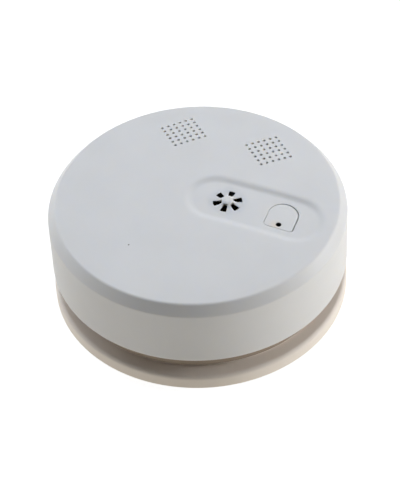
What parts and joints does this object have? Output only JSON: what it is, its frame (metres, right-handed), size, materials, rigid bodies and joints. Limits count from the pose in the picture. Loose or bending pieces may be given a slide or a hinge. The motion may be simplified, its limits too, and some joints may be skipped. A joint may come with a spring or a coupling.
{
  "type": "smoke detector",
  "caption": "Round battery smoke alarm with a twist-off head, smoke inlet groove, vent grids, sounder opening and a sprung test button.",
  "frame": {"origin": "centre of the flat mounting face, where the mounting plate meets the ceiling", "axes": "+Z from the mounting face to the crown of the cover; +X along the oval recess from the sounder opening to the test button; +Y towards the two vent grids"},
  "size_m": [0.121, 0.121, 0.0486],
  "materials": {
    "cover_plastic": "white satin moulded plastic with a fine texture",
    "base_plastic": "warm white satin moulded plastic",
    "black_plastic": "matt black moulded plastic",
    "clear_plastic": "clear polished plastic",
    "amber_lens": "glossy amber lens",
    "steel": "bright zinc-plated steel",
    "circuit_board": "green solder mask",
    "copper": "lacquered copper winding",
    "brass": "bright rolled brass",
    "ceramic": "matt ceramic with a silvered face",
    "battery_case": "printed metal jacket in a plain dark colour",
    "red_insulation": "red wire insulation",
    "black_insulation": "black wire insulation"
  },
  "bodies": {
    "mounting_base": {"mounting_plate": "base_plastic"},
    "alarm_head": {"rear_housing": "base_plastic", "cover": "cover_plastic", "button_guide": "black_plastic", "button_spring": "steel", "switch_body": "black_plastic", "status_led": "amber_lens", "light_pipe": "clear_plastic", "housing_screw_1": "steel", "housing_screw_2": "steel", "housing_screw_3": "steel", "pcb": "circuit_board", "pcb_screw_1": "steel", "pcb_screw_2": "steel", "pcb_screw_3": "steel", "controller_ic": "black_plastic", "capacitor_1": "black_plastic", "capacitor_2": "black_plastic", "boost_coil": "copper", "chamber_base": "black_plastic", "labyrinth": "black_plastic", "insect_screen": "steel", "ir_emitter": "clear_plastic", "photodiode": "black_plastic", "horn_cup": "black_plastic", "horn_ring": "black_plastic", "piezo_plate": "brass", "piezo_ceramic": "ceramic", "horn_lead_red": "red_insulation", "horn_lead_black": "black_insulation", "battery": "battery_case", "battery_terminal_positive": "steel", "battery_terminal_negative": "steel", "snap_connector": "black_insulation", "battery_lead_red": "red_insulation", "battery_lead_black": "black_insulation"},
    "test_button": {"test_button": "cover_plastic"},
    "switch_plunger": {"switch_plunger": "black_plastic"}
  },
  "joints": [
    {"name": "head_twist", "type": "hinge", "parent": "mounting_base", "child": "alarm_head", "pos_m": [0, 0, 0.0098], "axis": [0, 0, 1], "range_deg": [0, 13]},
    {"name": "test_button_press", "type": "slide", "parent": "alarm_head", "child": "test_button", "axis": [0, 0, -1], "range_m": [0, 0.0006], "stiffness_N_per_m": 1500, "springref_m": -0.0004, "deforming": ["button_spring"]},
    {"name": "switch_plunger_press", "type": "slide", "parent": "alarm_head", "child": "switch_plunger", "axis": [0, 0, -1], "range_m": [0, 0.0006]}
  ],
  "couplings": [
    {"joint": "switch_plunger_press", "follows": "test_button_press", "ratio": 1}
  ]
}
